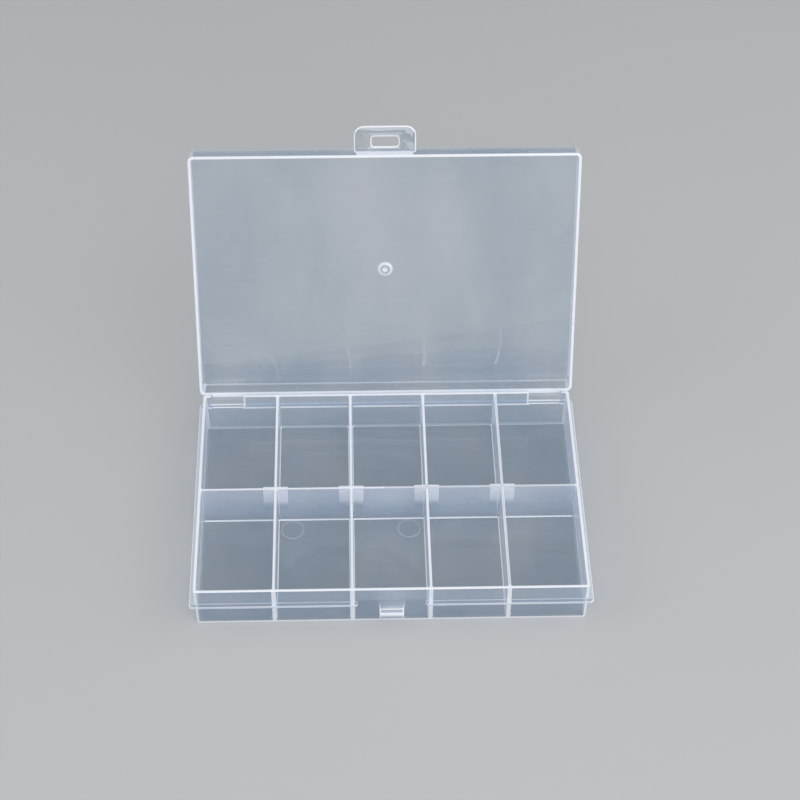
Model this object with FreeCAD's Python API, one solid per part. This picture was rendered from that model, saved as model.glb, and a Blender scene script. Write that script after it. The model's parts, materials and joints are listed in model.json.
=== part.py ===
import FreeCAD, Part
import math
import os

os.makedirs("parts", exist_ok=True)

# Driving sizes, in millimetres and degrees.
# The origin is the middle of the tray's underside. X is the long way, Y runs to the back, Z is up.

# tray
rim_width = 136.5
rim_depth = 93.0
tray_height = 17.7
draft = 0.4
wall = 1.0
floor_thickness = 1.0
foot_round = 0.8

# compartments
columns = 5
divider_top = 0.9
divider_foot = 1.4
long_divider_top = 1.0
pad_width = 9.0
pad_thickness = 2.0
pad_height = 10.3
rest_bump = 2.9
pin_mark_diameter = 8.3
pin_mark_depth = 0.12
pin_mark_places = [(-34.85, -5.3), (7.2, -5.3)]

# ledge round the tray
ledge_top = 11.4
ledge_thickness = 0.9
ledge_reach = 1.7
ledge_corner = 1.7
ledge_gap = 23.5

# openings in the top of the rear wall, one at each end, where the hinge straps run
notch_inset = 2.85
notch_width = 12.1

# lid
lid_gap = 0.3
lid_depth = 6.6
lid_panel_thickness = 1.0
lid_skirt = 1.0
lid_draft = 0.3
lid_corner = 0.9
lid_edge_round = 0.6
open_angle = 107.5
gate_diameter = 5.6
gate_depth = 0.4
gate_nib = 1.6

# hinge straps between the ledge and the lid
strap_length = 3.5
strap_thickness = 0.35
strap_side_gap = 0.2

# latch tab on the lid, and the catch for it on the tray
tab_width = 22.0
tab_reach = 11.0
tab_thickness = 0.8
tab_corner = 3.6
tab_base_corner = 0.9
window_width = 9.5
window_start = 3.3
window_end = 6.9
window_corner = 0.9
film_length = 0.8
film_thickness = 0.3
catch_top_width = 9.6
catch_nose_width = 8.4
catch_top = 11.8
catch_ramp_reach = 1.25
catch_ramp_foot = 8.75
catch_nose_reach = 3.2
catch_nose_top = 8.5
catch_nose_bottom = 5.75

# Everything below follows from the sizes above.

half_width = rim_width / 2
half_depth = rim_depth / 2
ledge_bottom = ledge_top - ledge_thickness
outer_x = half_width + ledge_reach
outer_y = half_depth + ledge_reach
lid_rim = ledge_top + lid_gap
lid_inside = lid_rim + lid_depth
lid_outside = lid_inside + lid_panel_thickness
hinge_y = outer_y + strap_length / 2
hinge_z = ledge_top + lid_gap / 2
cell_pitch = (rim_width - 2 * wall + divider_top) / columns


def draw_in(z):
    """How far the tray's walls stand inside the rim line at this height."""
    return draft * (1 - z / tray_height)


def lid_draw_in(z):
    """How far the lid's skirt stands inside its rim line at this height, lid closed."""
    return lid_draft * (z - lid_rim) / (lid_outside - lid_rim)


def rectangle(z, x0, x1, y0, y1):
    corners = [(x0, y0), (x1, y0), (x1, y1), (x0, y1)]
    return [FreeCAD.Vector(x, y, z) for x, y in corners]


def taper_block(lower, upper):
    """A block with flat faces between two rectangles."""
    loops = [lower[::-1], upper]
    for i in range(4):
        j = (i + 1) % 4
        loops.append([lower[i], lower[j], upper[j], upper[i]])
    shell = Part.Shell([Part.Face(Part.makePolygon(loop + loop[:1])) for loop in loops])
    shell.sewShape()
    return Part.makeSolid(shell)


def plain_block(x0, x1, y0, y1, z0, z1):
    return taper_block(rectangle(z0, x0, x1, y0, y1), rectangle(z1, x0, x1, y0, y1))


def edges_where(shape, test):
    """Straight edges whose middle passes the test."""
    return [e for e in shape.Edges if test(e.CenterOfMass)]


def rounded_plate(x_half, y_half, z0, z1, corner):
    """A plate with rounded upright edges, centred on the origin."""
    block = plain_block(-x_half, x_half, -y_half, y_half, z0, z1)
    upright = edges_where(block, lambda p: abs(abs(p.x) - x_half) < 1e-6 and abs(abs(p.y) - y_half) < 1e-6)
    return block.makeFillet(corner, upright)


def biggest(shape):
    return max(shape.Solids, key=lambda s: s.Volume)


def profile_along_x(points, x0, x1):
    """A prism with its outline given as (y, z) points."""
    loop = [FreeCAD.Vector(x0, y, z) for y, z in points]
    face = Part.Face(Part.makePolygon(loop + loop[:1]))
    return face.extrude(FreeCAD.Vector(x1 - x0, 0, 0))


def save(name, shape):
    solid = biggest(shape)
    if not solid.isValid():
        raise ValueError("bad solid: " + name)
    solid.exportStep("parts/" + name + ".step")


def opened(shape):
    """Turns a lid piece from the closed place, where it is drawn, to the open one."""
    turned = shape.copy()
    turned.rotate(FreeCAD.Vector(0, hinge_y, hinge_z), FreeCAD.Vector(1, 0, 0), -open_angle)
    return turned


# Tray walls and floor

def side_band(side, z0, z1):
    """A side wall between two heights: side is -1 on the left and +1 on the right."""
    loops = []
    for z in (z0, z1):
        x_out = side * (half_width - draw_in(z))
        x_in = x_out - side * wall
        y_out = half_depth - draw_in(z)
        loops.append(rectangle(z, min(x_in, x_out), max(x_in, x_out), -y_out, y_out))
    return taper_block(loops[0], loops[1])


def end_band(side, z0, z1, x_from=None, x_to=None):
    """A front (-1) or rear (+1) wall between two heights, from side wall to side wall or over part of it."""
    loops = []
    for z in (z0, z1):
        x_in = half_width - draw_in(z) - wall
        y_out = side * (half_depth - draw_in(z))
        y_in = y_out - side * wall
        x0 = -x_in if x_from is None else x_from
        x1 = x_in if x_to is None else x_to
        loops.append(rectangle(z, x0, x1, min(y_in, y_out), max(y_in, y_out)))
    return taper_block(loops[0], loops[1])


def round_foot(shape, low_and_outside):
    return shape.makeFillet(foot_round, edges_where(shape, low_and_outside))


side_walls = {}
for side, name in ((-1, "left_wall"), (1, "right_wall")):
    plate = side_band(side, 0, tray_height)
    middle_x = half_width - draft / 2
    side_walls[name] = round_foot(plate, lambda p: (
        (p.z < 0.01 and abs(p.x) > half_width - draft - wall / 4)
        or (p.z < 0.01 and abs(p.y) > 1)
        or (abs(p.z - tray_height / 2) < 0.01 and abs(p.x) > middle_x - wall / 2)))
    save(name, side_walls[name])

front_wall = round_foot(end_band(-1, 0, tray_height), lambda p: p.z < 0.01 and p.y < -half_depth + draft + wall / 4)
save("front_wall", front_wall)

rear_wall = round_foot(end_band(1, 0, ledge_top), lambda p: p.z < 0.01 and p.y > half_depth - draft - wall / 4)
save("rear_wall", rear_wall)

notch_far = half_width - notch_inset
notch_near = notch_far - notch_width
save("rear_wall_top", end_band(1, ledge_top, tray_height, -notch_near, notch_near))
save("rear_post_left", end_band(1, ledge_top, tray_height, None, -notch_far))
save("rear_post_right", end_band(1, ledge_top, tray_height, notch_far, None))


def inside_rectangle(z):
    x = half_width - draw_in(z) - wall
    y = half_depth - draw_in(z) - wall
    return rectangle(z, -x, x, -y, y)


tray_floor = taper_block(inside_rectangle(0), inside_rectangle(floor_thickness))
for x, y in pin_mark_places:
    centre = FreeCAD.Vector(x, y, floor_thickness - pin_mark_depth)
    tray_floor = tray_floor.cut(Part.makeCylinder(pin_mark_diameter / 2, 1, centre))
save("tray_floor", tray_floor)

# Dividers: one along the tray with a thick pad at each crossing, and two rows of four across it

divider_places = [cell_pitch * (i - (columns - 2) / 2) for i in range(columns - 1)]


def long_plate():
    loops = []
    for z, thick in ((floor_thickness, divider_foot), (tray_height, long_divider_top)):
        x = half_width - draw_in(z) - wall
        loops.append(rectangle(z, -x, x, -thick / 2, thick / 2))
    return taper_block(loops[0], loops[1])


def crossing_pad(x):
    narrow = pad_width - 0.4
    low = rectangle(tray_height - pad_height, x - narrow / 2, x + narrow / 2, -pad_thickness / 2, pad_thickness / 2)
    high = rectangle(tray_height, x - pad_width / 2, x + pad_width / 2, -pad_thickness / 2, pad_thickness / 2)
    return taper_block(low, high)


bump_half = rest_bump / 2
bump = profile_along_x([(-0.4, tray_height - 0.2), (0.4, tray_height - 0.2), (0.3, tray_height + 0.2),
                        (-0.3, tray_height + 0.2)], -bump_half, bump_half)
long_divider = long_plate().fuse([crossing_pad(x) for x in divider_places] + [bump]).removeSplitter()
save("long_divider", long_divider)


def cross_plate(x, side):
    """A divider from the front (-1) or rear (+1) wall to the long divider."""
    loops = []
    for z, thick in ((floor_thickness, divider_foot), (tray_height, divider_top)):
        y_wall = side * (half_depth - draw_in(z) - wall)
        loops.append(rectangle(z, x - thick / 2, x + thick / 2, min(0, y_wall), max(0, y_wall)))
    return biggest(taper_block(loops[0], loops[1]).cut(long_divider))


for number, x in enumerate(divider_places, 1):
    save("front_divider_%d" % number, cross_plate(x, -1))
    save("rear_divider_%d" % number, cross_plate(x, 1))

# Ledge: a ring outside the walls, open at the front for the latch tab

def wall_block():
    loops = []
    for z in (0, tray_height):
        x = half_width - draw_in(z)
        y = half_depth - draw_in(z)
        loops.append(rectangle(z, -x, x, -y, y))
    return taper_block(loops[0], loops[1])


ledge_ring = rounded_plate(outer_x, outer_y, ledge_bottom, ledge_top, ledge_corner).cut(wall_block())
split_x = half_width - draw_in(ledge_bottom)
reach = outer_x + 5
ledge_pieces = {
    "left_ledge": plain_block(-reach, -split_x, -reach, reach, 0, tray_height),
    "right_ledge": plain_block(split_x, reach, -reach, reach, 0, tray_height),
    "rear_ledge": plain_block(-split_x, split_x, 0, reach, 0, tray_height),
    "front_ledge_left": plain_block(-split_x, -ledge_gap / 2, -reach, 0, 0, tray_height),
    "front_ledge_right": plain_block(ledge_gap / 2, split_x, -reach, 0, 0, tray_height),
}
for name, region in ledge_pieces.items():
    piece = biggest(ledge_ring.common(region))
    if name.startswith("front_ledge"):
        free_end = edges_where(piece, lambda p: abs(abs(p.x) - ledge_gap / 2) < 1e-6 and abs(p.y + outer_y) < 1e-6)
        piece = piece.makeFillet(ledge_reach * 0.8, free_end)
    save(name, piece)

# Catch on the front wall: a ramp behind the tab, and a nose that stands in the tab's window

wall_y = -half_depth
catch_points = [
    (wall_y + wall / 2, catch_top),
    (wall_y + draw_in(catch_top), catch_top),
    (wall_y - catch_ramp_reach, catch_ramp_foot),
    (wall_y - catch_ramp_reach - 0.3, catch_nose_top),
    (wall_y - catch_nose_reach + 0.4, catch_nose_top - 0.3),
    (wall_y - catch_nose_reach, catch_nose_top - 0.8),
    (wall_y - catch_nose_reach, catch_nose_bottom + 0.5),
    (wall_y - catch_nose_reach + 0.4, catch_nose_bottom),
    (wall_y + wall / 2, catch_nose_bottom),
]
catch_body = profile_along_x(catch_points, -catch_top_width / 2, catch_top_width / 2)
front_outline = [(-catch_top_width / 2, catch_top), (-catch_nose_width / 2, catch_ramp_foot),
                 (-catch_nose_width / 2, catch_nose_bottom), (catch_nose_width / 2, catch_nose_bottom),
                 (catch_nose_width / 2, catch_ramp_foot), (catch_top_width / 2, catch_top)]
outline_loop = [FreeCAD.Vector(x, wall_y - 10, z) for x, z in front_outline]
front_view = Part.Face(Part.makePolygon(outline_loop + outline_loop[:1])).extrude(FreeCAD.Vector(0, 20, 0))
latch_catch = biggest(catch_body.common(front_view).cut(front_wall))
save("latch_catch", latch_catch)

# Lid, drawn closed and then turned open

def lid_side(side):
    loops = []
    for z in (lid_rim, lid_inside):
        x_out = side * (outer_x - lid_draw_in(z))
        x_in = x_out - side * lid_skirt
        y_out = outer_y - lid_draw_in(z)
        loops.append(rectangle(z, min(x_in, x_out), max(x_in, x_out), -y_out, y_out))
    plate = taper_block(loops[0], loops[1])
    corners = edges_where(plate, lambda p: lid_rim + 0.1 < p.z < lid_inside - 0.1
                          and abs(p.x) > outer_x - lid_draft - lid_skirt / 2)
    return plate.makeFillet(lid_corner, corners)


def lid_end(side):
    loops = []
    for z in (lid_rim, lid_inside):
        x_in = outer_x - lid_draw_in(z) - lid_skirt
        y_out = side * (outer_y - lid_draw_in(z))
        y_in = y_out - side * lid_skirt
        loops.append(rectangle(z, -x_in, x_in, min(y_in, y_out), max(y_in, y_out)))
    return taper_block(loops[0], loops[1])


save("lid_left_skirt", opened(lid_side(-1)))
save("lid_right_skirt", opened(lid_side(1)))
save("lid_front_skirt", opened(lid_end(-1)))
save("lid_rear_skirt", opened(lid_end(1)))

panel_in = lid_draw_in(lid_inside)
lid_panel = rounded_plate(outer_x - panel_in, outer_y - panel_in, lid_inside, lid_outside, lid_corner)
lid_panel = lid_panel.makeFillet(lid_edge_round, edges_where(lid_panel, lambda p: p.z > lid_outside - 0.01))
dimple = Part.makeCylinder(gate_diameter / 2, 2, FreeCAD.Vector(0, 0, lid_outside - gate_depth))
nib = Part.makeCylinder(gate_nib / 2, gate_depth * 0.75, FreeCAD.Vector(0, 0, lid_outside - gate_depth))
lid_panel = lid_panel.cut(dimple).fuse(nib).removeSplitter()
save("lid_panel", opened(lid_panel))

# Hinge straps: thin sheets bent from the ledge's edge up to the lid's rim

bend = math.radians(180 - open_angle)
start_z = ledge_top - strap_thickness / 2
end_down = lid_gap / 2 + strap_thickness / 2
swing = math.radians(open_angle)
end_y = hinge_y - strap_length / 2 * math.cos(swing) + end_down * math.sin(swing)
bend_radius = (end_y - outer_y) / math.sin(bend)
bend_centre_z = start_z + bend_radius


def on_bend(radius, angle):
    return FreeCAD.Vector(0, outer_y + radius * math.sin(angle), bend_centre_z - radius * math.cos(angle))


def bend_arc(radius):
    return Part.Arc(on_bend(radius, 0), on_bend(radius, bend / 2), on_bend(radius, bend)).toShape()


def hinge_strap(x0, x1):
    inner = bend_radius - strap_thickness / 2
    outer = bend_radius + strap_thickness / 2
    edges = [bend_arc(inner), Part.makeLine(on_bend(inner, bend), on_bend(outer, bend)),
             bend_arc(outer), Part.makeLine(on_bend(outer, 0), on_bend(inner, 0))]
    face = Part.Face(Part.Wire(Part.__sortEdges__(edges)))
    face.translate(FreeCAD.Vector(x0, 0, 0))
    return face.extrude(FreeCAD.Vector(x1 - x0, 0, 0))


save("hinge_strap_left", hinge_strap(-notch_far + strap_side_gap, -notch_near - strap_side_gap))
save("hinge_strap_right", hinge_strap(notch_near + strap_side_gap, notch_far - strap_side_gap))

# Latch tab and the thin web it folds on

tab_base = -outer_y - film_length
tab_end = -outer_y - tab_reach
tab = plain_block(-tab_width / 2, tab_width / 2, tab_end, tab_base, lid_rim, lid_rim + tab_thickness)
tab = tab.makeFillet(tab_corner, edges_where(tab, lambda p: abs(abs(p.x) - tab_width / 2) < 1e-6
                                             and abs(p.y - tab_end) < 1e-6))
tab = tab.makeFillet(tab_base_corner, edges_where(tab, lambda p: abs(abs(p.x) - tab_width / 2) < 1e-6
                                                  and abs(p.y - tab_base) < 1e-6))
window = plain_block(-window_width / 2, window_width / 2, -outer_y - window_end, -outer_y - window_start,
                     lid_rim - 1, lid_rim + tab_thickness + 1)
window = window.makeFillet(window_corner, edges_where(window, lambda p: abs(abs(p.x) - window_width / 2) < 1e-6
                                                      and abs(p.z - lid_rim - tab_thickness / 2) < 1e-6))
save("latch_tab", opened(tab.cut(window)))

film_half = tab_width / 2 - tab_base_corner
film = plain_block(-film_half, film_half, tab_base, -outer_y, lid_rim, lid_rim + film_thickness)
save("latch_film", opened(film))

print("hinge axis y z", round(hinge_y, 4), round(hinge_z, 4))
fold = opened(Part.Vertex(0, -outer_y - film_length / 2, lid_rim + film_thickness / 2)).Point
print("fold axis y z", round(fold.y, 4), round(fold.z, 4))
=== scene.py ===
import json
import math

import bmesh
import bpy
from mathutils import Euler, Matrix, Vector


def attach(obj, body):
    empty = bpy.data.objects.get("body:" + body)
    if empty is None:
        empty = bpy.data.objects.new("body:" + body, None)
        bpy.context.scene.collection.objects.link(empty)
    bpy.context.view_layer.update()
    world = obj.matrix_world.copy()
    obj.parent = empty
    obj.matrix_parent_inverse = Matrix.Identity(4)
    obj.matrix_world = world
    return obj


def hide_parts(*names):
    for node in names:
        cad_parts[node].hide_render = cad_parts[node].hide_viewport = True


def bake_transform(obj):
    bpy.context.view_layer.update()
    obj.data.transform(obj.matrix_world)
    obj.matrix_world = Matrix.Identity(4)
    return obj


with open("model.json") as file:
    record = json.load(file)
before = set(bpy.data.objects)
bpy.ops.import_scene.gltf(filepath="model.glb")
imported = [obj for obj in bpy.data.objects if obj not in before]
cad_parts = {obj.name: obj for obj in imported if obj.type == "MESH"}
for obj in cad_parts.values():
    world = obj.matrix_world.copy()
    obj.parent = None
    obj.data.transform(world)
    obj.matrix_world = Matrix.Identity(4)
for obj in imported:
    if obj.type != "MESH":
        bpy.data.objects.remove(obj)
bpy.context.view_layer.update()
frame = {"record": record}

# Sizes are in millimetres, with the lid closed. X is the long way, Y runs to the back and Z is up.

# A millimetre in metres, how far cutters go past a face, the least corner radius, and the angle in degrees
# up to which neighbouring faces look smooth
MM = 0.001
PAST = 1.0
MIN_RADIUS = 0.03
SMOOTH_ANGLE = 28

# Tray walls and floor
HALF_W = 68.25
HALF_D = 46.5
TOP = 17.7
DRAFT = 0.4
WALL = 1.0
FLOOR = 1.0
TRAY_CORNER = 1.0
FOOT_ROUND = 0.3
LIP_ROUND = 0.2

# Compartments, the dividers between them and the marks of two ejector pins
COLUMNS = 5
CELL = 27.08
CELL_CORNER = 0.6
CELL_FILLET = 0.22
DIVIDERS = [CELL * (k - COLUMNS / 2) for k in range(1, COLUMNS)]
DIVIDER_FOOT = 1.4
DIVIDER_TOP = 0.9
LONG_DIVIDER_TOP = 1.0
PIN_MARKS = [(-34.85, -5.3), (7.2, -5.3)]
PIN_RADIUS = 4.15
PIN_FLAT = 3.8
PIN_DEPTH = 0.12

# Pads where the dividers cross, and the bump in the middle of the long divider
PAD_HEIGHT = 10.3
PAD_HALF = 4.3
PAD_SPREAD = 0.2
PAD_HALF_DEEP = 1.0
PAD_CORNER = 0.35
PAD_FOOT_ROUND = 0.12
PAD_STEPS = (1, 2, 3, 4, 5, 7)
PAD_TOP_ROUND = ((0, 0.17), (0.05, 0.07), (0.15, 0.02))
BUMP_HALF_W = 1.45
BUMP_HALF_D = 0.42
BUMP_CORNER = 0.3
BUMP_ROWS = ((0, -0.4), (0, 0), (0.06, 0.12), (0.16, 0.2))

# Ledge round the tray, its gap at the front, and the notches above it for the hinge straps
LEDGE_TOP = 11.4
LEDGE_LOW = 10.5
REACH = 1.7
LEDGE_CORNER = 1.7
LEDGE_ROUND = 0.3
LEDGE_LOW_ROUND = 0.14
GAP_HALF = 11.75
GAP_ROUND = 1.36
NOTCH_IN = 53.3
NOTCH_OUT = 65.4
NOTCH_LIP = 0.25
NOTCH_FILLET = 0.4
NOTCH_INSIDE = 0.35
NOTCH_BEHIND = 0.3
OUT_X = HALF_W + REACH
OUT_Y = HALF_D + REACH
OUTLINE = (-OUT_X, OUT_X, -OUT_Y, OUT_Y)

# Catch on the front wall: heights from the top down, and how far each part stands out
CATCH_HALF = 4.2
CATCH_FLARE = 0.6
CATCH_TOP = 11.8
CATCH_ROOT = 0.05
CATCH_INSIDE = 0.5
RAMP_FOOT = 8.75
RAMP_REACH = 1.25
SHOULDER = 8.5
SHOULDER_REACH = 1.55
NOSE_TOP = 8.3
NOSE_REACH = 3.2
NOSE_ROUND = (0.5, 0.6)
NOSE_MIDDLE = 6.9
CATCH_LOW = 5.75
CATCH_LOW_ROUND = (0.4, 0.5)
CATCH_LIFT = 6.0
CATCH_ENDS = ((0.9, 0), (0.975, 0.12), (1, 0.3))
CATCH_END_SLOPE = 0.4

# Lid, with the dimple and nib that its moulding gate left
LID_RIM = 11.7
LID_INSIDE = 18.3
LID_TOP = 19.3
LID_WALL = 1.0
LID_DRAFT = 0.3
LID_CORNER = 2.0
LID_FILLET = 0.22
LID_EDGE = 0.6
LID_RIM_ROUND = 0.16
# Height up to which the lid's rim band carries full painted light; the shell has a row of points there
LID_PAINTED_GLOW_HEIGHT = 12.25
GATE_RADIUS = 2.8
GATE_FLAT = 1.75
GATE_DEPTH = 0.4
GATE_NIB = 1.05
NIB_TOP = ((0, 0.12), (0.62, 0.12), (0.85, 0.2))

# Latch tab with its window, and the film it folds on
FILM_REACH = 0.8
FILM_THICK = 0.3
FILM_HALF = 10.1
FILM_ROOT = 0.1
FILM_STEPS = 8
TAB_HALF = 11.0
TAB_END = 11.0
TAB_THICK = 0.8
TAB_ROUND = 0.42
TAB_CORNERS = (0.9, 0.9, 3.6, 3.6)
WINDOW_HALF = 4.75
WINDOW_FAR = 6.9
WINDOW_NEAR = 3.3
WINDOW_CORNER = 0.9

# Hinge: the lid opens by an angle about a line behind the ledge, and two straps bend along an arc
OPEN = 107.5
HINGE_BEHIND = 1.75
HINGE_Y = OUT_Y + HINGE_BEHIND
HINGE_Z = (LEDGE_TOP + LID_RIM) / 2
TO_OPEN = (Matrix.Translation((0, HINGE_Y, HINGE_Z)) @ Matrix.Rotation(-math.radians(OPEN), 4, "X")
           @ Matrix.Translation((0, -HINGE_Y, -HINGE_Z)))
STRAP_IN = 53.5
STRAP_OUT = 65.2
STRAP_THICK = 0.35
STRAP_ROOT = 0.06
BEND = math.radians(180 - OPEN)
BEND_STEPS = 20
STRAP_HEAD = TO_OPEN @ Vector((0, OUT_Y, LID_RIM + STRAP_THICK / 2))
BEND_RADIUS = (STRAP_HEAD.y - OUT_Y) / math.sin(BEND)
BEND_Z = LEDGE_TOP - STRAP_THICK / 2 + BEND_RADIUS
STRIP_STEPS = 8

# Where lines of painted light lie: on the feet of walls and dividers, up the walls, along the ledge and
# notches
FOOT_LINE = 1.15
ROOT_LINE = 1.6
WALL_LINE = 12.0
LEDGE_LINE = (11.45, 12.35)
NOTCH_LINES = (45.85, 46.5, 47.4, 47.95)
JOINT_LINE = -46.85
DIVIDER_END = 0.74
NOTCH_BORDER = 0.7

# How close a face lies to a place, and how far its normal turns to an axis, for the rules of painted light
SKIN = 0.02
NEAR = 0.05
RIM_LOW = TOP - LIP_ROUND - SKIN
RIM_BAND = 1.2
WALL_BAND = 0.9
DIVIDER_BAND = 1.5
LEDGE_BAND = 0.1
NOTCH_BAND = 0.4
NOTCH_TOP_BAND = 1.0
CATCH_BAND = 5.2
FILLET_BAND = 0.6
PAD_END = 4.7
PAD_FRONT = (-1.1, -0.4)
LID_CORNER_BAND = 2.2
LID_REAR_BAND = 2.0
TILTED = 0.1
SLANTED = 0.3
STRIP_SIDE = 0.8
STRAIGHT = 0.9
RIM_FLAT = 0.95
FLAT = 0.97
LEVEL = 0.99

# How much painted light each place gets, from nothing on a plain wall to 1 on a rim: the plastic is painted
# whiter and more opaque there, in place of light that it carries to its edges
PLAIN = 0.0
PAINTED_LIGHT = {
    "rim": 1.0,
    "rear rim": 0.8,
    "long divider top": 0.7,
    "long divider lip": 0.3,
    "bump": 0.55,
    "pad top": 0.45,
    "catch shoulder": 0.75,
    "catch step": 0.3,
    "catch foot": 0.25,
    "ledge": 0.04,
    "ledge border": 0.95,
    "front ledge": 0.1,
    "front ledge border": 0.6,
    "ledge underside": 0.02,
    "ledge joint": 0.5,
    "ledge line": 0.95,
    "divider end on ledge": 0.7,
    "divider end on side": 0.85,
    "divider end on front": 0.9,
    "divider foot": 1.0,
    "divider side": 0.26,
    "inside of side wall": 0.14,
    "upper wall": 0.14,
    "tray corner": 0.9,
    "foot": 0.95,
    "rear foot": 0.5,
    "notch border": 0.9,
    "notch line": 0.95,
    "notch floor": 0.02,
    "notch far side": 0.3,
    "pin ring": 0.28,
    "floor fillet": 0.04,
    "lid edge": 0.95,
    "rear lid edge": 0.35,
    "lid corner": 0.6,
    "gate": 1.0,
    "tab border": 0.95,
    "film": 0.6,
    "strap border": 0.6,
}
# Painted highlight on the pin rings, on their faces turned to the back
PIN_PAINTED_HIGHLIGHT = 0.8

# Where the painted light changes with height, as two pairs of height and level
FADE = {
    "catch end": ((RAMP_FOOT, 0.95), (10.5, 0.35)),
    "catch ramp": ((CATCH_TOP, 0.04), (RAMP_FOOT, 0.34)),
    "catch nose": ((NOSE_TOP - NOSE_ROUND[1], 0.95), (NOSE_MIDDLE, 0.45)),
    "pad": ((8.2, 0.08), (12.6, 0.63)),
    "long divider": ((2.0, 0.14), (14.0, 0.3)),
    "strap": ((12.6, 0.02), (12.8, 0.87)),
}


# Outlines

def quarter(wide, high, steps=2):
    """Points along a quarter of an ellipse, from the end of its width up to its height."""
    angles = [math.pi / 2 * k / steps for k in range(steps + 1)]
    return [(wide * math.cos(a), high * math.sin(a)) for a in angles]


def round_out(radius, steps=3):
    """Inset and height along a quarter round, from the side up to the top."""
    return [(radius - x, y) for x, y in quarter(radius, radius, steps)]


def round_in(radius, steps=4):
    """The same round from the top down to the side."""
    return round_out(radius, steps)[::-1]


def ring(box, inset, radii, z, steps=5):
    """A rounded rectangle at one height, drawn in by the inset.

    The box is x0, x1, y0, y1. The radii are one number, or four from the far right corner on.
    """
    x0, x1, y0, y1 = box
    if not isinstance(radii, tuple):
        radii = (radii,) * 4
    corners = ((x1, y1, -1, -1), (x0, y1, 1, -1), (x0, y0, 1, 1), (x1, y0, -1, 1))
    points = []
    for turn, ((x, y, to_x, to_y), radius) in enumerate(zip(corners, radii)):
        r = max(radius - inset, MIN_RADIUS)
        centre_x = x + to_x * (inset + r)
        centre_y = y + to_y * (inset + r)
        for k in range(steps + 1):
            a = math.pi / 2 * (turn + k / steps)
            points.append(Vector((centre_x + r * math.cos(a), centre_y + r * math.sin(a), z)))
    return points


# Meshes

def loft(rows):
    """A closed solid through loops of equal length, with a flat cap at each end."""
    bm = bmesh.new()
    made = [[bm.verts.new(p) for p in row] for row in rows]
    for low, high in zip(made, made[1:]):
        for i in range(len(low)):
            j = (i + 1) % len(low)
            bm.faces.new((low[i], low[j], high[j], high[i]))
    bm.faces.new(made[0][::-1])
    bm.faces.new(made[-1])
    bmesh.ops.recalc_face_normals(bm, faces=bm.faces)
    return bm


def lathe(profile, x, y, steps=64):
    """A closed solid turned about an upright line. The profile is (radius, z) pairs and ends on the line."""
    bm = bmesh.new()
    turns = [2 * math.pi * k / steps for k in range(steps)]
    rows = []
    for r, z in profile:
        if r == 0:
            rows.append([bm.verts.new((x, y, z))])
        else:
            rows.append([bm.verts.new((x + r * math.cos(a), y + r * math.sin(a), z)) for a in turns])
    for low, high in zip(rows, rows[1:]):
        for i in range(steps):
            j = (i + 1) % steps
            if len(low) == 1:
                bm.faces.new((low[0], high[i], high[j]))
            elif len(high) == 1:
                bm.faces.new((low[i], low[j], high[0]))
            else:
                bm.faces.new((low[i], low[j], high[j], high[i]))
    bmesh.ops.recalc_face_normals(bm, faces=bm.faces)
    return bm


def sheet_strip(line, x0, x1, name):
    """A thin strip along pairs of a lower and an upper point, each as (y, z). X runs across it."""
    bm = bmesh.new()
    across = [x0 + (x1 - x0) * k / STRIP_STEPS for k in range(STRIP_STEPS + 1)]
    low = [[bm.verts.new((x, *pair[0])) for x in across] for pair in line]
    high = [[bm.verts.new((x, *pair[1])) for x in across] for pair in line]
    for i in range(len(line) - 1):
        for k in range(STRIP_STEPS):
            bm.faces.new((low[i][k], low[i][k + 1], low[i + 1][k + 1], low[i + 1][k]))
            bm.faces.new((high[i][k], high[i + 1][k], high[i + 1][k + 1], high[i][k + 1]))
        for k in (0, STRIP_STEPS):
            bm.faces.new((low[i][k], low[i + 1][k], high[i + 1][k], high[i][k]))
    for i in (0, -1):
        for k in range(STRIP_STEPS):
            bm.faces.new((low[i][k], low[i][k + 1], high[i][k + 1], high[i][k]))
    bmesh.ops.recalc_face_normals(bm, faces=bm.faces)
    return to_object(bm, name)


def to_object(bm, name):
    mesh = bpy.data.meshes.new(name)
    bm.to_mesh(mesh)
    bm.free()
    obj = bpy.data.objects.new(name, mesh)
    bpy.context.scene.collection.objects.link(obj)
    return obj


def merged(shapes):
    """Several separate solids in one mesh."""
    whole = bmesh.new()
    for bm in shapes:
        mesh = bpy.data.meshes.new("part")
        bm.to_mesh(mesh)
        bm.free()
        whole.from_mesh(mesh)
        bpy.data.meshes.remove(mesh)
    return whole


def combine(obj, bm, operation):
    """Adds a solid to obj, or cuts it away."""
    other = to_object(bm, "other")
    modifier = obj.modifiers.new("combine", "BOOLEAN")
    modifier.object = other
    modifier.operation = operation
    modifier.solver = "EXACT"
    bpy.context.view_layer.update()
    result = bpy.data.meshes.new_from_object(obj.evaluated_get(bpy.context.evaluated_depsgraph_get()))
    obj.modifiers.clear()
    before = obj.data
    obj.data = result
    bpy.data.meshes.remove(before)
    bpy.data.objects.remove(other)


def score(obj, test, planes):
    """Splits the faces that pass the test along planes, so that strips of them can be marked."""
    bm = bmesh.new()
    bm.from_mesh(obj.data)
    for point, normal in planes:
        faces = [f for f in bm.faces if test(f.calc_center_median(), f.normal)]
        edges = dict.fromkeys(e for f in faces for e in f.edges)
        corners = dict.fromkeys(v for f in faces for v in f.verts)
        bmesh.ops.bisect_plane(bm, geom=[*faces, *edges, *corners], plane_co=point, plane_no=normal)
    bm.to_mesh(obj.data)
    bm.free()


def across_x(*places):
    return [((x, 0, 0), (1, 0, 0)) for x in places]


def across_y(*places):
    return [((0, y, 0), (0, 1, 0)) for y in places]


def across_z(*places):
    return [((0, 0, z), (0, 0, 1)) for z in places]


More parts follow.
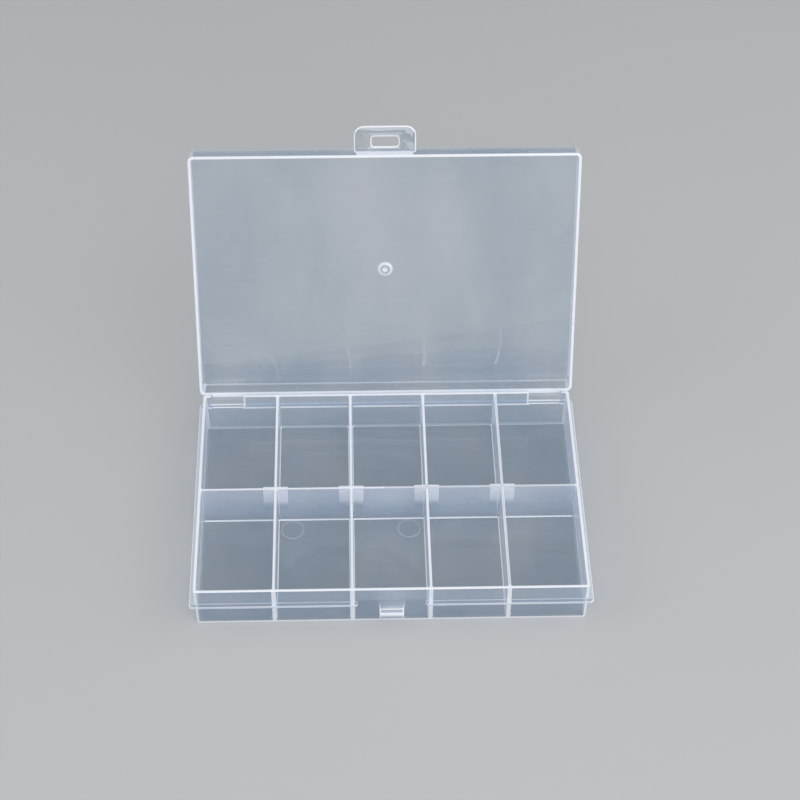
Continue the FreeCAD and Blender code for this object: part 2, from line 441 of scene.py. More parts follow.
def mark_edges(obj, rule):
    """Stores painted light on each face corner. The rule takes the face's middle, its normal and the corner.
    """
    mesh = obj.data
    values = [PLAIN] * len(mesh.loops)
    for face in mesh.polygons:
        for i in face.loop_indices:
            corner = mesh.vertices[mesh.loops[i].vertex_index].co
            values[i] = rule(face.center, face.normal, corner)
    mesh.attributes.new("painted_edge_light", "FLOAT", "CORNER").data.foreach_set("value", values)


def fade(height, start, end):
    """A level that goes smoothly from one pair of height and level to another."""
    share = min(max((height - start[0]) / (end[0] - start[0]), 0), 1)
    return start[1] + (end[1] - start[1]) * share * share * (3 - 2 * share)


def place(obj, matrix=Matrix.Identity(4)):
    """Moves a mesh drawn in millimetres to its place at rest, in metres, and smooths its rounds."""
    obj.data.transform(Matrix.Scale(MM, 4) @ matrix)
    obj.data.shade_smooth()
    obj.data.set_sharp_from_angle(angle=math.radians(SMOOTH_ANGLE))


# Tray shapes

def draw_in(z):
    """How far the drafted walls stand inside the rim at a height."""
    return DRAFT * (1 - z / TOP)


def tray_block():
    path = [(d, FOOT_ROUND - h) for d, h in round_in(FOOT_ROUND)]
    path += [(d, TOP - LIP_ROUND + h) for d, h in round_out(LIP_ROUND)]
    box = (-HALF_W, HALF_W, -HALF_D, HALF_D)
    return loft([ring(box, draw_in(z) + d, TRAY_CORNER + draw_in(z), z) for d, z in path])


def pocket(column, back):
    """The hollow of one compartment, with a rounded floor edge and a rounded lip."""
    path = [(d, FLOOR + CELL_FILLET - h) for d, h in round_in(CELL_FILLET)]
    path += [(-d, TOP - LIP_ROUND + h) for d, h in round_out(LIP_ROUND)]
    path.append((-LIP_ROUND, TOP + PAST))
    rows = []
    for d, z in path:
        level = min(z, TOP)
        share = (level - FLOOR) / (TOP - FLOOR)
        half_short = (DIVIDER_FOOT + (DIVIDER_TOP - DIVIDER_FOOT) * share) / 2
        half_long = (DIVIDER_FOOT + (LONG_DIVIDER_TOP - DIVIDER_FOOT) * share) / 2
        x_wall = HALF_W - draw_in(level) - WALL
        y_wall = HALF_D - draw_in(level) - WALL
        x0 = -x_wall if column == 0 else DIVIDERS[column - 1] + half_short
        x1 = x_wall if column == COLUMNS - 1 else DIVIDERS[column] - half_short
        y0, y1 = (half_long, y_wall) if back else (-y_wall, -half_long)
        rows.append(ring((x0, x1, y0, y1), d, CELL_CORNER, z))
    return loft(rows)


def crossing_pad(x):
    low = TOP - PAD_HEIGHT
    path = [(PAD_FOOT_ROUND, low), (0, low + PAD_FOOT_ROUND)]
    path += [(0, low + step) for step in PAD_STEPS]
    path += [(d, TOP - down) for d, down in PAD_TOP_ROUND]
    rows = []
    for d, z in path:
        half = PAD_HALF + PAD_SPREAD * (z - low) / PAD_HEIGHT
        rows.append(ring((x - half, x + half, -PAD_HALF_DEEP, PAD_HALF_DEEP), d, PAD_CORNER, z, steps=3))
    return loft(rows)


def rest_bump():
    box = (-BUMP_HALF_W, BUMP_HALF_W, -BUMP_HALF_D, BUMP_HALF_D)
    return loft([ring(box, d, BUMP_CORNER, TOP + h, steps=3) for d, h in BUMP_ROWS])


def pin_mark(x, y):
    depths = [(0, PIN_DEPTH), (PIN_FLAT, PIN_DEPTH), (PIN_RADIUS, 0), (PIN_RADIUS, -PAST), (0, -PAST)]
    return lathe([(r, FLOOR - depth) for r, depth in depths], x, y)


def ledge_plate():
    path = [(LEDGE_LOW_ROUND, LEDGE_LOW), (0, LEDGE_LOW + LEDGE_LOW_ROUND)]
    path += [(d, LEDGE_TOP - LEDGE_ROUND + h) for d, h in round_out(LEDGE_ROUND, steps=2)]
    return loft([ring(OUTLINE, d, LEDGE_CORNER, z, steps=6) for d, z in path])


def ledge_gap():
    """The open stretch of the ledge at the front, flaring outwards to round the ledge's two ends."""
    flare = [(GAP_HALF + d, -OUT_Y + GAP_ROUND - h) for d, h in round_out(GAP_ROUND, steps=5)]
    right = [(GAP_HALF, -HALF_D + WALL), *flare, (GAP_HALF + GAP_ROUND, -OUT_Y - PAST)]
    outline = right + [(-x, y) for x, y in right[::-1]]
    return loft([[Vector((x, y, z)) for x, y in outline] for z in (LEDGE_LOW - PAST, LEDGE_TOP + PAST)])


def notch(side):
    """The opening above the ledge at one strap, with rounded lips and fillets."""
    x0, x1 = sorted((side * NOTCH_IN, side * NOTCH_OUT))
    edge = [(-NOTCH_LIP, TOP + PAST)]
    edge += [(-d, TOP - NOTCH_LIP + h) for d, h in round_in(NOTCH_LIP, steps=2)]
    edge += [(d, LEDGE_TOP + NOTCH_FILLET - h) for d, h in round_out(NOTCH_FILLET, steps=2)]
    outline = [(x0 + d, z) for d, z in edge] + [(x1 - d, z) for d, z in edge[::-1]]
    ends = (HALF_D - WALL - NOTCH_INSIDE, HALF_D + NOTCH_BEHIND)
    return loft([[Vector((x, y, z)) for x, z in outline] for y in ends])


def catch_profile():
    """Points (out from the wall, height) down the ramp, over the nose and back inside the wall."""
    ramp_middle = ((RAMP_REACH - CATCH_ROOT) / 2, (CATCH_TOP + RAMP_FOOT) / 2)
    points = [(-CATCH_INSIDE, CATCH_TOP), (-CATCH_ROOT, CATCH_TOP), ramp_middle,
              (RAMP_REACH, RAMP_FOOT), (SHOULDER_REACH, SHOULDER)]
    wide, high = NOSE_ROUND
    points += [(NOSE_REACH - wide + x, NOSE_TOP - high + y) for x, y in quarter(wide, high)[::-1]]
    points.append((NOSE_REACH, NOSE_MIDDLE))
    wide, high = CATCH_LOW_ROUND
    points += [(NOSE_REACH - wide + x, CATCH_LOW + high - y) for x, y in quarter(wide, high)]
    return points + [(-CATCH_INSIDE, CATCH_LOW), (-CATCH_INSIDE, RAMP_FOOT)]


def catch():
    """Ramp and nose on the front wall for the latch tab, with rounded ends."""
    rows = []
    for share, inset in [(-share, inset) for share, inset in CATCH_ENDS[::-1]] + [*CATCH_ENDS]:
        row = []
        for out, z in catch_profile():
            half = CATCH_HALF + CATCH_FLARE * max(0, z - RAMP_FOOT) / (CATCH_TOP - RAMP_FOOT)
            back = min(inset, max(0, (out + CATCH_ROOT) * CATCH_END_SLOPE))
            lift = inset if z < CATCH_LIFT else 0
            row.append(Vector((share * half, -HALF_D - out + back, z + lift)))
        rows.append(row)
    return loft(rows)


# Painted light on the tray

def near_divider(x):
    return min(abs(x - d) for d in DIVIDERS)


def outside(p, margin):
    """Past the tray's outer sides, or within the margin of them."""
    return abs(p.x) > HALF_W - margin or abs(p.y) > HALF_D - margin


def on_corner(n):
    return abs(n.x) > TILTED and abs(n.y) > TILTED


def outer_wall(p, n):
    at_end = abs(p.x) > HALF_W - DRAFT - NEAR and math.copysign(n.x, n.x * p.x) > STRAIGHT
    at_side = abs(p.y) > HALF_D - DRAFT - NEAR and math.copysign(n.y, n.y * p.y) > STRAIGHT
    return at_end or at_side


def ledge_top(p, n):
    return n.z > FLAT and abs(p.z - LEDGE_TOP) < NEAR


def on_ledge(p, n):
    return ledge_top(p, n) or outside(p, -SKIN) and LEDGE_LOW - LEDGE_BAND < p.z < LEDGE_TOP + LEDGE_BAND


def at_foot(p, n):
    return p.z < FOOT_LINE and n.z > -FLAT and outside(p, WALL_BAND)


def in_notch(p, n):
    beside = NOTCH_IN - NOTCH_BAND < abs(p.x) < NOTCH_OUT + NOTCH_BAND
    return beside and p.y > HALF_D - WALL - NOTCH_BAND and p.z > LEDGE_TOP - NEAR and abs(n.y) < SLANTED


def rear_inside(p, n):
    return n.y < -STRAIGHT and p.y > HALF_D - 2 * WALL


def pad_face(p):
    return DIVIDER_FOOT / 2 + NEAR < abs(p.y) < PAD_HALF_DEEP + SKIN and p.z > TOP - PAD_HEIGHT - NEAR


def long_face(p, n):
    return abs(n.y) > STRAIGHT and abs(p.y) < DIVIDER_FOOT / 2 + NEAR and p.z < RIM_LOW


def divider_side(p, n):
    """The long divider's front face, both faces of the others, and the rounded corners beside them."""
    along = n.y < -TILTED and -DIVIDER_BAND < p.y < 0
    across = abs(n.x) > TILTED and near_divider(p.x) < DIVIDER_BAND and abs(p.y) < HALF_D - WALL_BAND
    return p.z < RIM_LOW and (along or across)


def rim_edge(p, n):
    beside = near_divider(p.x)
    if PAD_FRONT[0] < p.y < PAD_FRONT[1] and DIVIDER_TOP / 2 + NEAR < beside < PAD_END:
        return PAINTED_LIGHT["pad top"]
    if abs(p.y) < RIM_BAND and beside > PAD_END and abs(p.x) < HALF_W - RIM_BAND:
        if p.z > TOP + SKIN:
            return PAINTED_LIGHT["bump"]
        return PAINTED_LIGHT["long divider top"] if n.z > RIM_FLAT else PAINTED_LIGHT["long divider lip"]
    at_rear = p.y > HALF_D - RIM_BAND and abs(p.x) < HALF_W - WALL
    return PAINTED_LIGHT["rear rim"] if at_rear else PAINTED_LIGHT["rim"]


def catch_edge(p, n, v):
    plain_share = CATCH_ENDS[0][0]
    if abs(n.x) > SLANTED or abs(p.x) > plain_share * CATCH_HALF and p.z < RAMP_FOOT:
        return fade(v.z, *FADE["catch end"])
    if p.z > RAMP_FOOT:
        return fade(v.z, *FADE["catch ramp"])
    if p.z > SHOULDER:
        return PAINTED_LIGHT["catch shoulder"]
    if p.z > NOSE_TOP - NEAR:
        return PAINTED_LIGHT["catch step"]
    if p.z > NOSE_MIDDLE:
        return fade(v.z, *FADE["catch nose"])
    return PAINTED_LIGHT["catch foot"]


def ledge_edge(p, n):
    if abs(n.z) < FLAT:
        at_front = n.y < -SLANTED and abs(n.x) < SLANTED
        return PAINTED_LIGHT["front ledge border"] if at_front else PAINTED_LIGHT["ledge border"]
    if n.z < 0:
        return PAINTED_LIGHT["ledge underside"]
    if p.y < 0:
        if near_divider(p.x) < DIVIDER_END:
            return PAINTED_LIGHT["divider end on ledge"]
        at_joint = p.y > JOINT_LINE and abs(p.x) < HALF_W
        return PAINTED_LIGHT["ledge joint"] if at_joint else PAINTED_LIGHT["front ledge"]
    if NOTCH_IN < abs(p.x) < NOTCH_OUT:
        low, low_end, high, high_end = NOTCH_LINES
        on_line = low < p.y < low_end or high < p.y < high_end
        return PAINTED_LIGHT["notch line"] if on_line else PAINTED_LIGHT["notch floor"]
    return PAINTED_LIGHT["ledge"]


def wall_edge(p, n):
    """Outer walls: painted light where a divider ends on them, in place of the end seen through the wall, and
    a little painted light above the ledge.
    """
    if abs(n.x) > STRAIGHT:
        return PAINTED_LIGHT["divider end on side"] if abs(p.y) < DIVIDER_END else PLAIN
    if near_divider(p.x) < DIVIDER_END:
        return PAINTED_LIGHT["divider end on front"]
    return PAINTED_LIGHT["upper wall"] if p.z > WALL_LINE else PLAIN


def rear_edge(p):
    """The rear wall's inner face from the ledge up."""
    if NOTCH_IN - NOTCH_BORDER < abs(p.x) < NOTCH_IN:
        return PAINTED_LIGHT["notch border"]
    return PAINTED_LIGHT["ledge line"] if p.z < LEDGE_LINE[1] else PAINTED_LIGHT["upper wall"]


def notch_edge(p):
    bright = abs(p.x) < (NOTCH_IN + NOTCH_OUT) / 2 or p.z > TOP - NOTCH_TOP_BAND
    return PAINTED_LIGHT["notch border"] if bright else PAINTED_LIGHT["notch far side"]


def floor_edge(p, n):
    """Painted light on rounds at the floor: the pin rings in it, the dividers' feet and the feet of the
    walls.
    """
    if p.z < FLOOR:
        # Pin rings get a painted highlight on faces turned to the back
        return PAINTED_LIGHT["pin ring"] + PIN_PAINTED_HIGHLIGHT * max(0, n.y)
    return PAINTED_LIGHT["divider foot"] if divider_side(p, n) else PAINTED_LIGHT["floor fillet"]


def inner_edge(p, n, v):
    """Faces inside the compartments."""
    if rear_inside(p, n) and p.z > LEDGE_LINE[0]:
        return rear_edge(p)
    if pad_face(p):
        return fade(v.z, *FADE["pad"])
    if p.z < FLOOR + FILLET_BAND and TILTED < n.z < FLAT:
        return floor_edge(p, n)
    if divider_side(p, n) and p.z < ROOT_LINE:
        return PAINTED_LIGHT["divider foot"]
    if abs(n.x) > STRAIGHT and p.z > FLOOR:
        on_divider = near_divider(p.x) < DIVIDER_BAND
        return PAINTED_LIGHT["divider side"] if on_divider else PAINTED_LIGHT["inside of side wall"]
    if long_face(p, n):
        return fade(v.z, *FADE["long divider"])
    return PLAIN


def tray_edge(p, n, v):
    if p.z > RIM_LOW:
        return rim_edge(p, n)
    if p.y < -HALF_D - SKIN and abs(p.x) < CATCH_BAND:
        return catch_edge(p, n, v)
    if on_ledge(p, n):
        return ledge_edge(p, n)
    if at_foot(p, n):
        return PAINTED_LIGHT["rear foot"] if p.y > HALF_D - WALL_BAND else PAINTED_LIGHT["foot"]
    if in_notch(p, n):
        return notch_edge(p)
    corner_band = TRAY_CORNER + DRAFT
    if abs(p.x) > HALF_W - corner_band and abs(p.y) > HALF_D - corner_band and on_corner(n):
        return PAINTED_LIGHT["tray corner"]
    if outer_wall(p, n):
        return wall_edge(p, n)
    return inner_edge(p, n, v)


# Tray
tray = to_object(tray_block(), "tray_moulding")
ledge = to_object(ledge_plate(), "ledge")
combine(ledge, ledge_gap(), "DIFFERENCE")
ledge_shape = bmesh.new()
ledge_shape.from_mesh(ledge.data)
bpy.data.objects.remove(ledge)
combine(tray, ledge_shape, "UNION")
combine(tray, catch(), "UNION")
combine(tray, merged([pocket(c, back) for c in range(COLUMNS) for back in (False, True)]), "DIFFERENCE")
combine(tray, merged([notch(-1), notch(1)]), "DIFFERENCE")
combine(tray, merged([pin_mark(x, y) for x, y in PIN_MARKS]), "DIFFERENCE")
combine(tray, merged([crossing_pad(x) for x in DIVIDERS] + [rest_bump()]), "UNION")

divider_ends = across_x(*[x + side * DIVIDER_END for x in DIVIDERS for side in (-1, 1)])
notch_sides = across_x(-NOTCH_IN, NOTCH_IN, -NOTCH_OUT, NOTCH_OUT)
notch_borders = across_x(NOTCH_BORDER - NOTCH_IN, NOTCH_IN - NOTCH_BORDER)
score(tray, outer_wall, divider_ends + across_y(-DIVIDER_END, DIVIDER_END) + across_z(FOOT_LINE, WALL_LINE))
score(tray, ledge_top, divider_ends + across_y(*NOTCH_LINES, JOINT_LINE) + notch_sides)
score(tray, rear_inside, across_z(*LEDGE_LINE) + notch_borders)
score(tray, divider_side, across_z(ROOT_LINE))
mark_edges(tray, tray_edge)
place(tray)


# Lid

def lid_draw_in(z):
    return LID_DRAFT * (z - LID_RIM) / (LID_TOP - LID_RIM)


def lid_shell():
    """The lid from the panel's inner face down the walls, round the rim and up outside to the panel's top."""
    inside = LID_WALL + lid_draw_in(LID_INSIDE)
    rim_top = LID_RIM + LID_RIM_ROUND
    path = [(inside + d, LID_INSIDE - LID_FILLET + h) for d, h in round_in(LID_FILLET)]
    path.append((LID_WALL + lid_draw_in(LID_PAINTED_GLOW_HEIGHT), LID_PAINTED_GLOW_HEIGHT))
    path += [(LID_WALL - d, rim_top - h) for d, h in round_out(LID_RIM_ROUND)]
    path += [(d, rim_top - h) for d, h in round_in(LID_RIM_ROUND, steps=3)]
    path.append((lid_draw_in(LID_PAINTED_GLOW_HEIGHT), LID_PAINTED_GLOW_HEIGHT))
    path += [(LID_DRAFT + d, LID_TOP - LID_EDGE + h) for d, h in round_out(LID_EDGE, steps=4)]
    return loft([ring(OUTLINE, d, LID_CORNER, z, steps=6) for d, z in path])


def gate_cut():
    """The dimple that the moulding gate left in the panel, with its nib in the middle."""
    bowl = [(GATE_FLAT + x, y) for x, y in quarter(GATE_RADIUS - GATE_FLAT, GATE_DEPTH, steps=3)[::-1]]
    depths = [*NIB_TOP, (GATE_NIB, GATE_DEPTH), *bowl, (GATE_RADIUS, -PAST), (0, -PAST)]
    return lathe([(r, LID_TOP - depth) for r, depth in depths], 0, 0)


def lid_edge(p, n, v):
    if p.z < LID_PAINTED_GLOW_HEIGHT:
        return PAINTED_LIGHT["rim"]
    out = math.hypot(p.x, p.y)
    below_panel = n.z < LEVEL or p.z < LID_TOP - NEAR
    if out < GATE_RADIUS + NEAR and p.z > LID_INSIDE + SKIN and below_panel:
        return PLAIN if GATE_NIB - NEAR < out < GATE_FLAT + NEAR else PAINTED_LIGHT["gate"]
    if p.z > LID_TOP - LID_EDGE - SKIN and n.z < LEVEL:
        return PAINTED_LIGHT["rear lid edge"] if p.y > OUT_Y - LID_REAR_BAND else PAINTED_LIGHT["lid edge"]
    if abs(p.x) > OUT_X - LID_CORNER_BAND and abs(p.y) > OUT_Y - LID_CORNER_BAND and on_corner(n):
        return PAINTED_LIGHT["lid corner"]
    return PLAIN


lid = to_object(lid_shell(), "lid_moulding")
combine(lid, gate_cut(), "DIFFERENCE")
mark_edges(lid, lid_edge)
place(lid, TO_OPEN)


# Latch tab

def tab_rows():
    """Inset and height over the plate's rounded border, from its lower face to its upper face."""
    middle = TAB_THICK / 2
    upper = quarter(TAB_ROUND, middle, steps=3)
    lower = [(x, -y) for x, y in upper[:0:-1]]
    return [(TAB_ROUND - x, middle + y) for x, y in lower + upper]


def tab_plate():
    box = (-TAB_HALF, TAB_HALF, -OUT_Y - TAB_END, -OUT_Y - FILM_REACH)
    return loft([ring(box, d, TAB_CORNERS, LID_RIM + h, steps=8) for d, h in tab_rows()])


def window_cut():
    box = (-WINDOW_HALF, WINDOW_HALF, -OUT_Y - WINDOW_FAR, -OUT_Y - WINDOW_NEAR)
    rows = [(TAB_ROUND, -PAST), *tab_rows(), (TAB_ROUND, TAB_THICK + PAST)]
    return loft([ring(box, -d, WINDOW_CORNER, LID_RIM + h, steps=8) for d, h in rows])


def tab_edge(p, n, v):
    return PLAIN if abs(n.z) > LEVEL else PAINTED_LIGHT["tab border"]


tab = to_object(tab_plate(), "latch_tab_plate")
combine(tab, window_cut(), "DIFFERENCE")
mark_edges(tab, tab_edge)
place(tab, TO_OPEN)


# Film of the latch and straps of the hinge

def film_edge(p, n, v):
    return PAINTED_LIGHT["film"]


def strap_edge(p, n, v):
    return PAINTED_LIGHT["strap border"] if abs(n.x) > STRIP_SIDE else fade(v.z, *FADE["strap"])


def on_bend(radius, angle):
    return OUT_Y + radius * math.sin(angle), BEND_Z - radius * math.cos(angle)


film_line = []
for k in range(FILM_STEPS + 1):
    y = -OUT_Y + FILM_ROOT - (FILM_REACH + 2 * FILM_ROOT) * k / FILM_STEPS
    film_line.append(((y, LID_RIM), (y, LID_RIM + FILM_THICK)))
film = sheet_strip(film_line, -FILM_HALF, FILM_HALF, "latch_film_web")
mark_edges(film, film_edge)
place(film, TO_OPEN)

strap_line = []
half_thick = STRAP_THICK / 2
for k in range(BEND_STEPS + 1):
    angle = -STRAP_ROOT + (BEND + 2 * STRAP_ROOT) * k / BEND_STEPS
    strap_line.append((on_bend(BEND_RADIUS + half_thick, angle), on_bend(BEND_RADIUS - half_thick, angle)))
straps = {}
for side, name in ((-1, "left"), (1, "right")):
    x0, x1 = sorted((side * STRAP_IN, side * STRAP_OUT))
    straps[name] = sheet_strip(strap_line, x0, x1, "hinge_strap_film_" + name)
    mark_edges(straps[name], strap_edge)
    place(straps[name])


# Materials

class Nodes:
    """Short ways to add shader nodes to one material."""

    def __init__(self, name):
        self.material = bpy.data.materials.new(name)
        self.material.use_nodes = True
        self.tree = self.material.node_tree
        self.tree.nodes.clear()
        self.output = self.add("ShaderNodeOutputMaterial")

    def add(self, kind, inputs=None, **settings):
        node = self.tree.nodes.new(kind)
        for key, value in settings.items():
            setattr(node, key, value)
        for key, value in (inputs or {}).items():
            if isinstance(value, bpy.types.NodeSocket):
                self.tree.links.new(value, node.inputs[key])
            else:
                node.inputs[key].default_value = value
        return node

    def finish(self, shader):
        self.tree.links.new(shader, self.output.inputs["Surface"])
        return self.material

    def math(self, operation, a, b, clamp=False):
        return self.add("ShaderNodeMath", {0: a, 1: b}, operation=operation, use_clamp=clamp).outputs[0]

    def plus(self, a, b, share=1.0):
        """The first value plus a share of the second."""
        return self.math("ADD", a, self.math("MULTIPLY", b, share))

    def rest(self, share, clamp=False):
        """What a share leaves of 1."""
        return self.math("SUBTRACT", 1.0, share, clamp)

    def remap(self, value, source, target):
        inputs = {"Value": value, "From Min": source[0], "From Max": source[1],
                  "To Min": target[0], "To Max": target[1]}
        return self.add("ShaderNodeMapRange", inputs, clamp=True).outputs[0]

    def stretch(self, spot, scale, turn=(0.0, 0.0, 0.0)):
        return self.add("ShaderNodeMapping", {"Vector": spot, "Rotation": turn, "Scale": scale}).outputs[0]

    def noise(self, spot, scale, detail):
        inputs = {"Vector": spot, "Scale": scale, "Detail": detail, "Roughness": 0.55}
        return self.add("ShaderNodeTexNoise", inputs).outputs[0]

    def mix_colour(self, factor, a, b):
        """A colour between two. A Mix node has its colours at inputs 6 and 7 and output 2."""
        return self.add("ShaderNodeMix", {0: factor, 6: (*a, 1), 7: (*b, 1)}, data_type="RGBA").outputs[2]

    def mix_shader(self, share, a, b):
        return self.add("ShaderNodeMixShader", {0: share, 1: a, 2: b}).outputs[0]

    def bump(self, height, strength, distance):
        inputs = {"Strength": strength, "Distance": distance, "Height": height}
        return self.add("ShaderNodeBump", inputs).outputs[0]


# Plastic: the milky colour of walls, the whiter colour painted where edges carry painted light and at grazing
# angles, and pairs of tints that light takes on as it goes through
MILK = (0.71, 0.78, 0.91)
PAINTED_GLOW_COLOUR = (0.87, 0.885, 0.94)
TRAY_TINT = ((0.83, 0.882, 0.928), (0.905, 0.936, 0.962))
LID_TINT = ((0.81, 0.868, 0.92), (0.925, 0.95, 0.972))
FILM_TINT = ((0.93, 0.952, 0.975), (0.95, 0.968, 0.985))
PLASTIC_IOR = 1.49
NOISE_RANGE = (0.3, 0.7)
SHARE_RANGE = (0.0, 1.0)


class PlasticTexture:
    """Clouds, flow streaks, scratches and fine unevenness of moulded plastic."""

    def __init__(self, n, spot):
        self.clouds = n.noise(spot, scale=42.0, detail=4.0)
        self.streaks = n.noise(n.stretch(spot, (9.0, 160.0, 260.0)), scale=1.0, detail=3.0)
        scratch_spot = n.stretch(spot, (30.0, 900.0, 900.0), turn=(0.3, 0.5, 0.7))
        self.scratches = n.remap(n.noise(scratch_spot, scale=1.0, detail=2.0), (0.66, 0.74), SHARE_RANGE)
        self.flow = n.remap(n.noise(n.stretch(spot, (34.0, 20.0, 13.0)), scale=1.0, detail=3.0),
                            NOISE_RANGE, SHARE_RANGE)
        waves = n.noise(spot, scale=110.0, detail=2.0)
        grain = n.noise(spot, scale=1500.0, detail=3.0)
        height = n.plus(n.plus(waves, grain, share=0.12), self.streaks, share=0.3)
        self.bump = n.bump(height, strength=0.1, distance=0.0001)


def solid_share(n, texture, spot, edge, facing, haze, blush):
    """How much light stops in the plastic: haze on the way through, a veil at grazing angles, and painted
    light on edges.
    """
    cloudiness = n.plus(n.remap(texture.clouds, NOISE_RANGE, (0.7, 1.3)),
                        n.remap(texture.streaks, NOISE_RANGE, (-0.35, 0.35)))
    depth = n.math("MULTIPLY", cloudiness, haze)
    for centre, reach, strength in blush:
        away = n.add("ShaderNodeVectorMath", {0: spot, 1: centre}, operation="DISTANCE").outputs["Value"]
        depth = n.plus(depth, n.remap(away, (0.0, reach), (strength, 0.0)))
    across = n.math("MAXIMUM", n.rest(facing), 0.03)
    clear = n.math("POWER", math.e, n.math("MULTIPLY", n.math("DIVIDE", depth, across), -1.0))
    veil = n.math("MULTIPLY", n.math("POWER", facing, 8.0), 0.95)
    wall = n.math("MAXIMUM", n.plus(n.rest(clear), texture.scratches, share=0.03), veil)
    open_share = n.math("MULTIPLY", n.rest(wall), n.rest(n.math("MULTIPLY", edge, 0.94)))
    return n.rest(open_share, clamp=True)


def clear_plastic(name, haze, tint, mirror, rough, blush=()):
    """Moulded polypropylene: see-through, a little milky and glossy, painted whiter and more opaque where
    edges carry painted light, and painted whiter at grazing angles.
    """
    n = Nodes(name)
    spot = n.add("ShaderNodeTexCoord").outputs["Object"]
    # Painted light on edges, stored on the meshes: it makes the plastic whiter, more opaque, less translucent
    # and rougher
    edge = n.add("ShaderNodeAttribute", attribute_name="painted_edge_light").outputs["Fac"]
    facing = n.add("ShaderNodeLayerWeight", {"Blend": 0.5}).outputs["Facing"]
    texture = PlasticTexture(n, spot)

    # Rays of shadow pass more easily, so the box casts the light shadow of clear plastic
    in_shadow = n.add("ShaderNodeLightPath").outputs["Is Shadow Ray"]
    passing = n.remap(in_shadow, SHARE_RANGE, (1.0, 0.4))
    solid = n.math("MULTIPLY", solid_share(n, texture, spot, edge, facing, haze, blush), passing)

    rough = n.plus(n.remap(texture.clouds, NOISE_RANGE, rough), texture.scratches, share=0.12)
    rough = n.plus(rough, edge, share=0.25)
    # Painted light: the colour goes whiter on edges with painted light and at grazing angles
    painted_whiteness = n.math("MAXIMUM", n.remap(edge, (0.0, 0.5), SHARE_RANGE), n.math("POWER", facing, 6.0))
    colour = n.mix_colour(painted_whiteness, MILK, PAINTED_GLOW_COLOUR)
    milky = n.add("ShaderNodeBsdfPrincipled", {"Base Color": colour, "Roughness": rough, "IOR": PLASTIC_IOR,
                                               "Normal": texture.bump}).outputs[0]
    back_lit = n.add("ShaderNodeBsdfTranslucent", {"Color": colour, "Normal": texture.bump}).outputs[0]
    through = n.add("ShaderNodeBsdfTransparent", {"Color": n.mix_colour(texture.flow, *tint)}).outputs[0]
    gloss = n.add("ShaderNodeBsdfGlossy", {"Color": (1, 1, 1, 1), "Roughness": rough,
                                           "Normal": texture.bump}).outputs[0]
    glow = n.mix_shader(n.remap(edge, SHARE_RANGE, (0.35, 0.06)), milky, back_lit)
    body = n.mix_shader(solid, through, glow)
    sheen = n.math("ADD", n.math("MULTIPLY", n.math("POWER", facing, 5.0), 0.25), mirror)
    return n.finish(n.mix_shader(n.math("MULTIPLY", sheen, passing), body, gloss))


# Milky spots in the tray, round the middle of the long divider and above the catch: each has a centre and
# a reach in metres, and a strength
BLUSH = [((0, 0, 0.013), 0.014, 0.12), ((0, -0.0465, 0.0165), 0.009, 0.1)]
tray_plastic = clear_plastic("tray_polypropylene", haze=0.06, tint=TRAY_TINT, mirror=0.06, rough=(0.03, 0.07),
                             blush=BLUSH)
lid_plastic = clear_plastic("lid_polypropylene", haze=0.04, tint=LID_TINT, mirror=0.1, rough=(0.02, 0.05))
film_plastic = clear_plastic("hinge_film_polypropylene", haze=0.02, tint=FILM_TINT, mirror=0.03,
                             rough=(0.25, 0.35))

for obj, material, slot in ((tray, tray_plastic, "tray_plastic"), (lid, lid_plastic, "lid_plastic"),
                            (tab, lid_plastic, "lid_plastic"), (film, film_plastic, "hinge_film"),
                            (straps["left"], film_plastic, "hinge_film"),
                            (straps["right"], film_plastic, "hinge_film")):
    obj.data.materials.clear()
    obj.data.materials.append(material)


# What each piece rides on and stands for


bodies = frame["record"]["behaviour"]["bodies"]
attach(tray, "tray")
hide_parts(*[n for n in bodies["tray"] if not n.startswith("hinge_strap")])
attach(lid, "lid")
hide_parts(*[n for n in bodies["lid"] if n != "latch_film"])
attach(tab, "tab")
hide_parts("latch_tab")
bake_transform(film)
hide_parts("latch_film")
for name, strap in straps.items():
    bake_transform(strap)
    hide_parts("hinge_strap_" + name)

# Floor, light and camera: places in metres, the camera's turn in degrees, its lens and sensor in millimetres
FLOOR_RADIUS = 6.0
FLOOR_DARK = (0.465, 0.47, 0.475)
FLOOR_PALE = (0.49, 0.495, 0.5)
WORLD_COLOUR = (0.93, 0.96, 1.0, 1)
WORLD_STRENGTH = 0.3
SOFTBOXES = {
    "overhead": dict(spot=(-0.25, 0.15, 1.5), aim_height=0.03, width=1.2, power=1.8),
    "front": dict(spot=(0.45, -1.15, 0.95), aim_height=0.04, width=1.9, power=19.5),
    "left": dict(spot=(-1.25, -0.15, 0.8), aim_height=0.05, width=1.4, power=9.7),
    "right": dict(spot=(1.25, -0.05, 0.75), aim_height=0.05, width=1.4, power=9.3),
}
CAMERA_SPOT = (-0.0122, -0.4894, 0.5821)
CAMERA_TURN = (43.335, -0.409, -1.418)
CAMERA_LENS = 93.778
CAMERA_SENSOR = 36.0


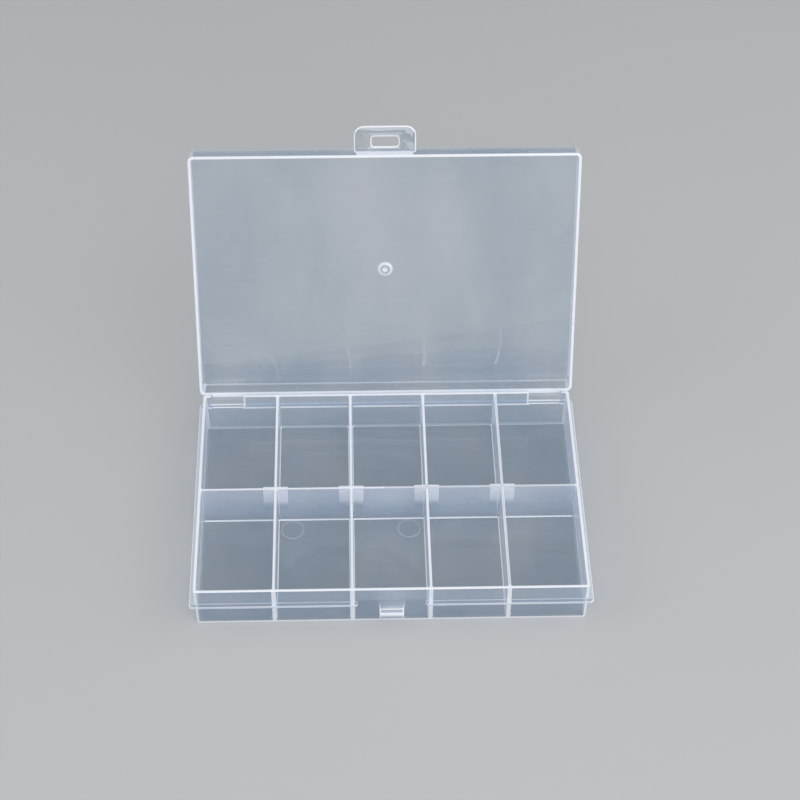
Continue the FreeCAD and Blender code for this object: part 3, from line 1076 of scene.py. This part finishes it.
def pale_floor():
    n = Nodes("pale_floor")
    spot = n.add("ShaderNodeTexCoord").outputs["Object"]
    soft = n.noise(spot, scale=3.0, detail=3.0)
    fine = n.noise(spot, scale=700.0, detail=2.0)
    inputs = {"Base Color": n.mix_colour(soft, FLOOR_DARK, FLOOR_PALE),
              "Roughness": n.remap(fine, NOISE_RANGE, (0.42, 0.55)),
              "Specular IOR Level": 0.3,
              "Normal": n.bump(fine, strength=0.05, distance=0.0002)}
    return n.finish(n.add("ShaderNodeBsdfPrincipled", inputs).outputs[0])


def floor_disc():
    bm = bmesh.new()
    bmesh.ops.create_circle(bm, cap_ends=True, segments=96, radius=FLOOR_RADIUS)
    return to_object(bm, "floor")


def softbox(name, spot, aim_height, width, power):
    data = bpy.data.lights.new(name, "AREA")
    data.shape = "SQUARE"
    data.size = width
    data.energy = power
    lamp = bpy.data.objects.new(name, data)
    lamp.location = spot
    lamp.rotation_euler = (Vector((0, 0, aim_height)) - Vector(spot)).to_track_quat("-Z", "Y").to_euler()
    bpy.context.scene.collection.objects.link(lamp)


def studio_world():
    world = bpy.data.worlds.new("studio")
    world.use_nodes = True
    background = world.node_tree.nodes["Background"]
    background.inputs["Color"].default_value = WORLD_COLOUR
    background.inputs["Strength"].default_value = WORLD_STRENGTH
    return world


def photo_camera():
    data = bpy.data.cameras.new("camera")
    data.sensor_width = CAMERA_SENSOR
    data.lens = CAMERA_LENS
    data.clip_start = 0.01
    data.clip_end = 50
    camera = bpy.data.objects.new("camera", data)
    turn = Euler([math.radians(angle) for angle in CAMERA_TURN])
    camera.matrix_world = Matrix.LocRotScale(Vector(CAMERA_SPOT), turn, None)
    bpy.context.scene.collection.objects.link(camera)
    return camera


floor = floor_disc()
floor.data.materials.append(pale_floor())
for name, values in SOFTBOXES.items():
    softbox(name, **values)

scene = bpy.context.scene
scene.world = studio_world()
scene.camera = photo_camera()
scene.view_settings.view_transform = "Standard"
scene.cycles.transparent_max_bounces = 48
scene.cycles.max_bounces = 16
